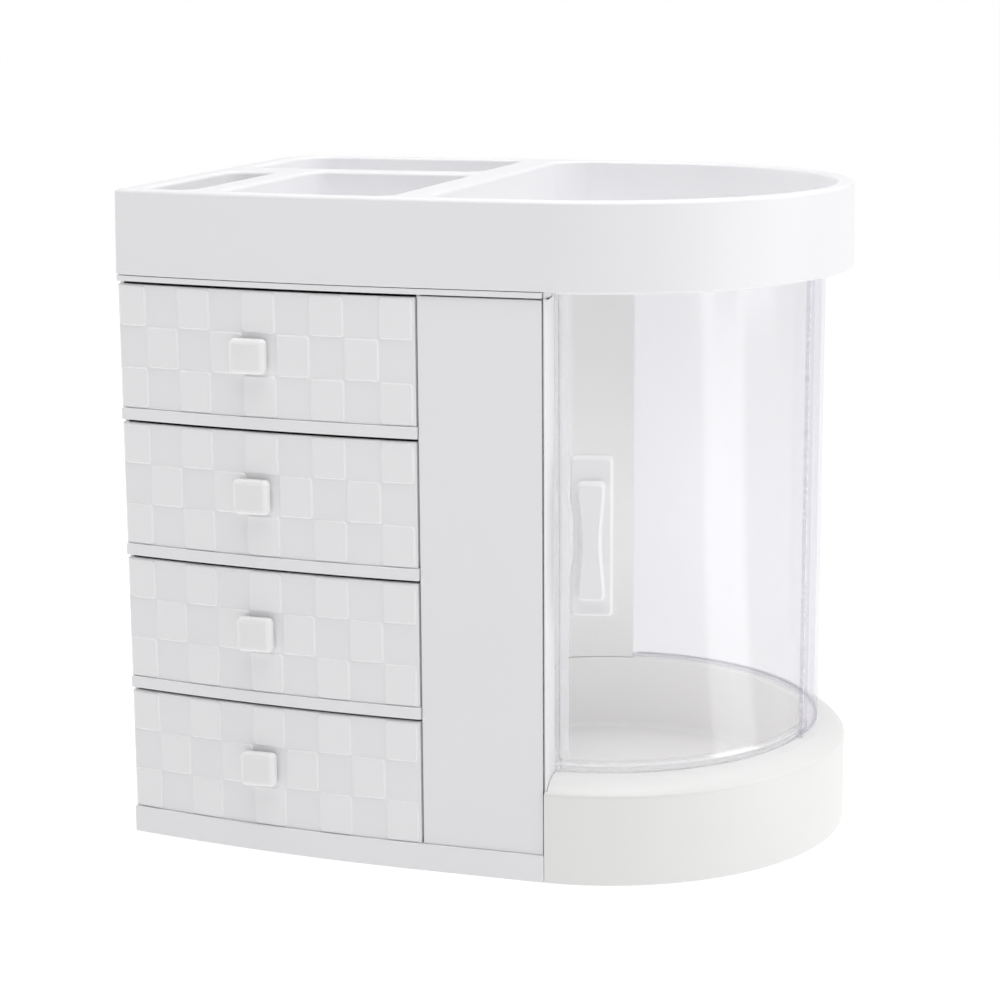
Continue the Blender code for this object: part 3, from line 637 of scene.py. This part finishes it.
def makeDrawerFront(number, low, high):
    inset, thick = drawerLook["frontInset"], drawerLook["frontThick"]
    left = leftX + drawerLook["gapLeft"]
    right = partitionX - drawerLook["gapRight"]
    loop = frontLine(left, right, inset) + frontLine(right, left, inset + thick)
    plate = prism("frontPlate", loop, low - play + slit, high, drawerLook["frontEdge"], fineSteps)
    edges = [left + tileLook["margin"]]
    edges += [left + (right - left) * (tileLook["firstShare"] + tileLook["share"] * column)
              for column in range(tileLook["columns"] - 1)]
    edges.append(right - tileLook["lastGap"])
    rowHigh = (high - low) / tileLook["rows"]
    shape = bmesh.new()
    for row in range(tileLook["rows"]):
        tileLow = low + rowHigh * row + (tileLook["margin"] if row == 0 else 0)
        tileHigh = low + rowHigh * (row + 1) - (tileLook["margin"] if row == tileLook["rows"] - 1 else 0)
        for column in range(row % 2, tileLook["columns"], 2):
            addTile(shape, edges[column], edges[column + 1], tileLow, tileHigh)
    closeUp(shape)
    face = joined(f"drawerFront{number}", [newObject("tiles", shape), plate])
    return dress(face, whitePlastic, f"drawer_{number}", [f"drawer_front_{number}"],
                 tileLook["sharp"])


def makeDrawerBox(number, low):
    left = leftX + wall + drawerLook["boxSide"]
    right = partitionX - wall - drawerLook["boxSide"]
    inset = drawerLook["frontInset"] + drawerLook["frontThick"] + play
    rear = backY - drawerLook["boxRearGap"]
    high = low + bayHigh - drawerLook["boxTopGap"]
    thick = drawerLook["boxThick"]
    loop = frontLine(left, right, inset) + [(right, rear), (left, rear)]
    rim = roundOver(drawerLook["boxEdge"], fineSteps)
    fillet = roundOver(drawerLook["boxFillet"], fineSteps)
    rings = [level(moved(loop, a), low + b) for a, b in rim]
    rings += [level(moved(loop, a), high - b) for a, b in rim[::-1]]
    rings += [level(moved(loop, thick - a), high - b) for a, b in rim]
    rings += [level(moved(loop, thick + a), low + thick + b) for a, b in fillet[::-1]]
    shape = bmesh.new()
    addStack(shape, rings)
    closeUp(shape)
    box = newObject(f"drawerBox{number}", shape)
    return dress(box, whitePlastic, f"drawer_{number}", [f"drawer_box_{number}"])


def makeKnob(number, height):
    x = leftX + body["housingWide"] * knobLook["share"]
    seat = frontY(x + knobLook["neck"], drawerLook["frontInset"]) - play
    wide, high, neckHigh = knobLook["wide"], knobLook["high"], knobLook["neckHigh"]
    neckInset, backRound, crownHigh = knobLook["neckInset"], knobLook["backRound"], knobLook["crown"]
    kept = knobLook["corner"] * knobLook["cornerShare"]
    depth = knobLook["out"] - play
    square = boxLoop(wide, high, knobLook["corner"])
    steps = [(neckInset, 0), (neckInset, neckHigh * knobLook["neckShare"]),
             (knobLook["neckTopInset"], neckHigh), (backRound, neckHigh)]
    edgeStart = len(steps)
    steps += [(a, neckHigh + b) for a, b in roundOver(backRound, fineSteps)[1:]]
    faceRound = roundOver(knobLook["round"], knobLook["roundSteps"])
    steps += [(a, depth - crownHigh - b) for a, b in faceRound[::-1]]
    rings = []
    for inset, out in steps:
        loop = moved(square, min(inset, kept))
        spare = max(0, inset - kept)
        if spare:
            across, up = (1 - spare / (side / 2 - kept) for side in (wide, high))
            loop = [(a * across, b * up) for a, b in loop]
        rings.append([(x + a, seat - out, height + b) for a, b in loop])
    crown = [[(x + (a - x) * share, seat - depth + crownHigh * share ** 2, height + (c - height) * share)
              for a, b, c in rings[-1]] for share in knobLook["crownShares"]]
    shape = bmesh.new()
    bands = addStack(shape, rings + crown)
    # painted highlight on the knob's rounds
    for band in bands[edgeStart:-len(crown)]:
        shade(shape, band, 0, knobLook["edgeLight"])
    closeUp(shape)
    knob = newObject(f"knob{number}", shape)
    return dress(knob, knobPlastic, f"drawer_{number}", [f"knob_{number}"],
                 knobLook["sharp"])


for drawerNumber in range(1, drawerLook["count"] + 1):
    drawerLow = bayFloor(drawerNumber) + play
    drawerHigh = bayFloor(drawerNumber) + bayHigh - drawerLook["gapTop"]
    makeDrawerFront(drawerNumber, drawerLow, drawerHigh)
    makeDrawerBox(drawerNumber, drawerLow)
    makeKnob(drawerNumber, (drawerLow + drawerHigh) / 2 - knobLook["drop"])
print("drawers made")


# Chamber

# bead steps: height, share that it stands out, and the painted shade and painted highlight of the band above;
# the other dark and light amounts are painted shade and painted highlight too
doorLook = {"inset": 0.016, "thick": 0.002, "start": -88.1, "end": -3.0, "rib": 0.008, "clear": 0.0002,
            "endStrip": 4.0, "beadOut": 0.0002, "beadTop": 0.0571, "topEdge": 0.0003,
            "beadSteps": ((0.0533, 0, 0, 0.5), (0.0537, 0.5, 0.5, 0), (0.0546, 1, 0, 0.9),
                          (0.0556, 1, 0.5, 0), (0.0566, 0.4, 0, 0.3)),
            "plainLevels": (0.12, 0.20), "footDark": 0.15, "topDark": 0.2, "footLight": 0.9,
            "edgeLight": 0.5, "edgeDark": 0.05, "ribLight": 0.9, "endLight": 0.15}
screenLook = {"inset": 0.019, "start": 97, "end": -89.5, "edge": 0.0003}
doorRadius = endRadius - doorLook["inset"]
doorInner = doorRadius - doorLook["thick"]
panelInner = panelRadius - doorLook["thick"]
clearLow = ringLook["topZ"] + doorLook["clear"]
clearTop = body["chamberHigh"] - doorLook["clear"]


def makeChamberWall():
    radius = endRadius - screenLook["inset"]
    inner = flatSide(radius, cupX - (radius - cupRadius), ringLook["cornerRound"], screenLook["start"],
                     screenLook["end"])
    outer = moved(inner, -doorLook["thick"], False)
    screen = prism("chamberWall", (inner + outer[::-1])[::-1], ringLook["topZ"] + play,
                   body["chamberHigh"] - play, screenLook["edge"])
    return dress(screen, warmPlastic, "housing", ["chamber_wall"])


def lightFoot(shape):
    # painted highlight on the foot, in place of the light it catches from the base
    foot = [face for face in shape.faces if face.calc_center_median().z < clearLow + weldReach]
    shade(shape, foot, 0, doorLook["footLight"])


def makeClearPanel():
    # its front edge is a rough cut, a little different at each level
    start, end, strip = panelLook["start"], panelLook["end"], panelLook["endStrip"]
    chance = random.Random(panelLook["seed"])
    panelLow = clearLow - panelLook["sink"]
    levels = math.ceil((clearTop - panelLow) / panelLook["roughStep"])
    rings = []
    for step in range(levels + 1):
        offsets = [chance.uniform(0, panelLook["rough"]) for corner in range(2)]
        rest = sector(panelInner, panelRadius, start + strip, end)
        outer = axisArc(panelRadius, start + offsets[0], start + strip, 1)[:1]
        inner = axisArc(panelInner, start + offsets[1], start + strip, 1)[:1]
        rings.append(level(outer + rest + inner, panelLow + (clearTop - panelLow) * step / levels))
    shape = bmesh.new()
    bands = addStack(shape, rings)
    shade(shape, [face for band in bands[1:] for face in band], 0, 0)
    # painted highlight along the foot; painted shade on the cut end, painted highlight on its outer corner, a
    # lighter glue line on its inner corner
    shade(shape, bands[0], 0, 1)
    spread = panelLook["cutSpread"]
    for band in bands[1:]:
        shade(shape, band[-1:], panelLook["cutPaintedShade"] + chance.uniform(-spread, spread), 0)
        shade(shape, band[:1], 0, chance.uniform(*panelLook["outerLight"]))
        shade(shape, band[-2:-1], 0, chance.uniform(*panelLook["innerLight"]))
    closeUp(shape)
    lightFoot(shape)
    panel = newObject("clearRearPanel", shape)
    return dress(panel, clearPanelPlastic, "housing", ["clear_back_panel"])


def nearEnd(face, angle):
    centre = face.calc_center_median()
    return math.degrees(math.atan2(centre.y, centre.x - axisX)) > angle


def makeDoor():
    # a curved sheet with a flange inside its left edge and a moulded bead along its foot
    look = doorLook
    start, end = look["start"], look["end"]
    flange = start + math.degrees(look["thick"] / doorRadius)
    strip = end - look["endStrip"]

    def outline(extra):
        outer = doorRadius + extra
        loop = axisArc(outer, start, flange, 1) + axisArc(outer, flange, strip)[1:]
        loop += axisArc(outer, strip, end, 1)[1:]
        loop += axisArc(doorInner, end, strip, 1) + axisArc(doorInner, strip, flange)[1:]
        return loop + axisArc(doorRadius - look["rib"], flange, start, 1)

    steps = [(clearLow, 0, look["footDark"], 0), *look["beadSteps"]]
    steps += [(z, 0, 0, 0) for z in (look["beadTop"], *look["plainLevels"])]
    steps += [(clearTop - look["topEdge"], 0, look["topDark"], 0), (clearTop, 0, 0, 0)]
    shape = bmesh.new()
    bands = addStack(shape, [level(outline(look["beadOut"] * out), z) for z, out, dark, light in steps])
    # painted shade and painted highlight: the dark foot band, the lines of the bead, the dark band at the
    # top, the light left strip and rib, the dark left end and the lighter strip near the right end
    for band, (z, out, dark, light) in zip(bands, steps):
        shade(shape, band, dark, light)
        if z >= look["beadTop"]:
            shade(shape, band[:1], 0, look["edgeLight"])
            shade(shape, band[-1:], look["edgeDark"], 0)
            shade(shape, band[-4:-1], 0, look["ribLight"])
            shade(shape, [face for face in band if nearEnd(face, strip)], 0, look["endLight"])
    closeUp(shape)
    lightFoot(shape)
    door = newObject("slidingDoor", shape)
    return dress(door, clearDoorPlastic, "door", ["sliding_door"])


handleLook = {"angle": -78.5, "wide": 0.0200, "z": 0.16745, "high": 0.0771, "thick": 0.003, "corner": 0.0022,
              "notch": 0.0015, "notchHigh": 0.034, "side": 0.0015, "top": 0.0023, "gripWide": 0.0129,
              "gripWaist": 0.0097, "gripHigh": 0.0572, "gripDrop": 0.0017, "gripThick": 0.0045,
              "gripCorner": 0.0024, "gripSide": 0.0015, "gripTop": 0.0018, "gripSink": 0.0005,
              "gripSteps": 20, "plateCornerSteps": 6, "gripCornerSteps": 5, "edgeLight": 0.1, "sharp": 50}
# the sloping borders of its pads, as shares of how far in and how far out
slopeShares = ((0, 0), (0, 0.35), (0.12, 0.55), (0.7, 0.88), (0.92, 0.97), (1.1, 1))


def onDoor(x, z, out):
    # x runs round the door, z up and out away from the chamber's axis
    turn = math.radians(handleLook["angle"]) + x / doorRadius
    radius = doorRadius + play + out
    return (axisX + radius * math.cos(turn), radius * math.sin(turn), handleLook["z"] + z)


def plateLoop(side, top):
    look = handleLook
    x, z, corner = look["wide"] / 2 - side, look["high"] / 2, look["corner"] - side / 2
    notchZ, notchRound = look["notchHigh"] / 2, look["notchHigh"] / 3
    notchX = look["notch"] - x
    notch = [(-x, notchZ, notchRound), (notchX, notchZ / 2, notchRound), (notchX, -notchZ / 2, notchRound),
             (-x, -notchZ, notchRound)]
    return rounded([(x, side - z, corner), (x, z - top, corner), (-x, z - top, corner), *notch,
                    (-x, side - z, corner)], look["plateCornerSteps"])


def gripLoop(side, top):
    look = handleLook
    steps = look["gripSteps"]
    low, high = side - look["gripHigh"] / 2, look["gripHigh"] / 2 - top
    loop = []
    for hand, order in ((1, range(steps + 1)), (-1, range(steps, -1, -1))):
        for step in order:
            share = step / steps
            pinch = math.sin(math.pi * share) ** 2
            across = (look["gripWide"] - (look["gripWide"] - look["gripWaist"]) * pinch) / 2 - side
            corner = look["gripCorner"] - side / 2 if step in (0, steps) else 0
            loop.append((hand * across, low + (high - low) * share - look["gripDrop"], corner))
    return rounded(loop, look["gripCornerSteps"])


def slopedPad(shape, loopMaker, side, top, base, outer):
    rings = []
    for across, out in slopeShares:
        loop = loopMaker(side * across, top * across)
        rings.append([onDoor(x, z, base + (outer - base) * out) for x, z in loop])
    # painted highlight on the sloping borders
    for band in addStack(shape, rings)[1:]:
        shade(shape, band, 0, handleLook["edgeLight"])


def makeHandle():
    look = handleLook
    shape = bmesh.new()
    slopedPad(shape, plateLoop, look["side"], look["top"], 0, look["thick"])
    slopedPad(shape, gripLoop, look["gripSide"], look["gripTop"], look["thick"] - look["gripSink"],
              look["thick"] + look["gripThick"])
    closeUp(shape)
    handle = newObject("doorHandle", shape)
    return dress(handle, whitePlastic, "door", ["door_handle"], look["sharp"])


makeChamberWall()
makeClearPanel()
makeDoor()
makeHandle()
print("chamber made")


# Tray

trayLook = {"inset": 0.0001, "rim": 0.0092, "floor": 0.003, "lip": 0.0018, "outerRound": 0.002,
            "corner": 0.008, "divider": 0.016, "smallLeft": 0.0125, "smallWide": 0.0265,
            "smallRear": 0.5225, "middleRear": 0.5633, "middleEndGap": 0.017, "longEndGap": 0.0195,
            "roundGap": 0.0004, "draft": 0.0006, "fillet": 0.003, "lowRound": 0.0006,
            "rimSteps": 5}


def pocketLoops():
    rim = trayLook["inset"] + trayLook["rim"]
    rear = backY - rim
    corner = trayLook["corner"]

    def frontPocket(left, right, pocketRear):
        steps = max(1, int((right - left) / (3 * corner)))
        line = frontLine(left, right, rim, steps)
        points = [(*line[0], corner)] + [(x, y, 0) for x, y in line[1:-1]] + [(*line[-1], corner)]
        return rounded(points + [(right, pocketRear, corner), (left, pocketRear, corner)])

    left = leftX + trayLook["smallLeft"]
    smallRight = left + trayLook["smallWide"]
    middleRear = frontLimit + body["depth"] * trayLook["middleRear"]
    small = frontPocket(left, smallRight, frontLimit + body["depth"] * trayLook["smallRear"])
    middle = frontPocket(smallRight + trayLook["divider"], partitionX - trayLook["middleEndGap"], middleRear)
    longFront = middleRear + trayLook["divider"]
    longRight = partitionX - trayLook["longEndGap"]
    long = rounded([(left, longFront, corner), (longRight, longFront, corner), (longRight, rear, corner),
                    (left, rear, body["rearCorner"] - rim)])
    roundX = partitionX + trayLook["roundGap"]
    line = frontLine(roundX, axisX, rim, 1)
    points = [(*line[0], 2 * corner)] + [(x, y, 0) for x, y in line[1:]]
    points += [(x, y, 0) for x, y in axisArc(endRadius - rim, -90, 90)[1:]] + [(roundX, rear, 2 * corner)]
    return [small, middle, long, rounded(points)]


def makeTray():
    low, high = body["trayLow"], body["height"]
    look = trayLook
    outerRound, fillet = roundOver(look["outerRound"], look["rimSteps"]), roundOver(look["fillet"])
    rings = [level(wholePlan(look["inset"] + a), low + b) for a, b in roundOver(look["lowRound"], fineSteps)]
    rings += [level(wholePlan(look["inset"] + look["draft"] + a), high - b) for a, b in outerRound[::-1]]
    shape = bmesh.new()
    addStack(shape, rings, True, False)
    floorZ = low + look["floor"]
    for loop in pocketLoops():
        pocket = [level(moved(loop, -a), high - b) for a, b in roundOver(look["lip"], look["rimSteps"])]
        pocket += [level(moved(loop, look["draft"] + a), floorZ + b) for a, b in fillet[::-1]]
        addStack(shape, pocket, False, True)
    edges = [edge for edge in shape.edges if edge.is_boundary]
    bmesh.ops.triangle_fill(shape, use_beauty=True, edges=edges, normal=(0, 0, 1))
    closeUp(shape)
    tray = newObject("topTray", shape)
    return dress(tray, whitePlastic, "housing", ["top_tray"])


makeTray()
print("tray made")


# Studio

studio = {"eye": (0.3817, -1.2322, 0.4303), "lens": 92.046, "yaw": 0.3074, "pitch": 0.2069,
          "roll": -0.0065, "sensor": 36, "clip": (0.05, 60), "floorSize": 60.0, "floorDrop": 0.0002,
          "floorGlow": 0.935, "floorPale": 0.14, "floorRough": 0.9, "frontAir": 0.25, "sideAir": 0.50,
          "frontEdge": (-0.75, -0.15)}
lamps = {
    "skyLamp": {"size": (1.6, 1.6), "power": 12, "place": (0.1, 0.3, 1.9), "target": (0, 0, 0.1)},
    "topLamp": {"size": (1.2, 1.2), "power": 11.5, "place": (0.15, -0.55, 1.8), "target": (0.05, 0, 0.15)},
    "rightLamp": {"size": (0.3, 1.9), "power": 2.9, "place": (1.855, -0.73, 0.75), "target": (0.05, 0, 0.15)},
    "sideLamp": {"size": (1.0, 1.6), "power": 7, "place": (1.92, 0.33, 0.75), "target": (0.05, 0, 0.15)},
    "leftLamp": {"size": (0.9, 1.5), "power": 5.4, "place": (-1.9, 0.15, 0.7), "target": (0, 0, 0.15)},
}
# a bright sheet on the floor at the right, seen in the clear door
sheet = {"start": 66, "end": 91, "steps": 12, "near": 0.24, "far": 2.2, "high": 0.0005, "glow": 2.3}
# light that the milky walls would let through to the chamber
chamberGlow = {"power": 0.104, "place": (0.062, 0, 0.11), "radius": 0.04}


def makeCamera():
    yaw, pitch, roll = studio["yaw"], studio["pitch"], studio["roll"]
    ahead = Vector((-math.sin(yaw) * math.cos(pitch), math.cos(yaw) * math.cos(pitch), -math.sin(pitch)))
    side = Vector((math.cos(yaw), math.sin(yaw), 0))
    over = side.cross(ahead)
    right = math.cos(roll) * side + math.sin(roll) * over
    up = math.cos(roll) * over - math.sin(roll) * side
    data = bpy.data.cameras.new("camera")
    data.lens = studio["lens"]
    data.sensor_width = studio["sensor"]
    data.clip_start, data.clip_end = studio["clip"]
    camera = bpy.data.objects.new("camera", data)
    bpy.context.scene.collection.objects.link(camera)
    turn = Matrix((right, up, -ahead)).transposed().to_4x4()
    camera.matrix_world = Matrix.Translation(studio["eye"]) @ turn
    bpy.context.scene.camera = camera


def glowingFinish(name, pale, roughness, glow):
    bench = Bench(bpy.data.materials.new(name))
    bench.set(Base_Color=(pale, pale, pale, 1), Roughness=roughness)
    bench.shader.inputs["Specular IOR Level"].default_value = 0
    bench.shader.inputs["Emission Color"].default_value = (1, 1, 1, 1)
    bench.shader.inputs["Emission Strength"].default_value = glow
    return bench.owner


def makeFloor():
    shape = bmesh.new()
    bmesh.ops.create_grid(shape, x_segments=8, y_segments=8, size=studio["floorSize"] / 2)
    bmesh.ops.translate(shape, verts=shape.verts, vec=(0, 0, -studio["floorDrop"]))
    floor = newObject("floor", shape)
    floor.data.materials.append(glowingFinish("paleFloor", studio["floorPale"], studio["floorRough"],
                                              studio["floorGlow"]))


def makeSheet():
    # angles count from straight ahead of the chamber
    start, end = sheet["start"] - 90, sheet["end"] - 90
    steps = sheet["steps"]
    loop = axisArc(sheet["near"], start, end, steps) + axisArc(sheet["far"], end, start, steps)
    shape = bmesh.new()
    shape.faces.new([shape.verts.new(point) for point in level(loop, sheet["high"])])
    item = newObject("brightSheet", shape)
    item.data.materials.append(glowingFinish("brightSheet", 0, 1, sheet["glow"]))
    item.visible_camera = item.visible_diffuse = item.visible_shadow = False


def makeLamp(name, lamp):
    data = bpy.data.lights.new(name, "AREA")
    data.shape = "RECTANGLE"
    data.size, data.size_y = lamp["size"]
    data.energy = lamp["power"]
    item = bpy.data.objects.new(name, data)
    item.location = lamp["place"]
    aim = Vector(lamp["target"]) - Vector(lamp["place"])
    item.rotation_euler = aim.to_track_quat("-Z", "Y").to_euler()
    bpy.context.scene.collection.objects.link(item)


def makeChamberGlow():
    data = bpy.data.lights.new("chamberGlow", "POINT")
    data.energy = chamberGlow["power"]
    data.shadow_soft_size = chamberGlow["radius"]
    item = bpy.data.objects.new("chamberGlow", data)
    item.location = chamberGlow["place"]
    item.visible_camera = item.visible_glossy = False
    bpy.context.scene.collection.objects.link(item)


def makeWorld():
    # white walls at the sides and behind, a dimmer room in front
    bench = Bench(bpy.data.worlds.new("studioAir"), "Background")
    place = bench.node("TexCoord", output="Generated")
    ahead = bench.node("SeparateXYZ", None, {"Vector": place}, "Y")
    low, high = studio["frontEdge"]
    share = bench.node("MapRange", {"interpolation_type": "SMOOTHSTEP"},
                       {"Value": ahead, "From Min": low, "From Max": high})
    bench.shader.inputs["Color"].default_value = (1, 1, 1, 1)
    bench.set(Strength=studio["frontAir"] + (studio["sideAir"] - studio["frontAir"]) * share)
    bpy.context.scene.world = bench.owner


makeCamera()
makeFloor()
makeSheet()
makeWorld()
for lampName, lampSpec in lamps.items():
    makeLamp(lampName, lampSpec)
makeChamberGlow()
bpy.context.scene.view_settings.view_transform = "Standard"
print("studio made")
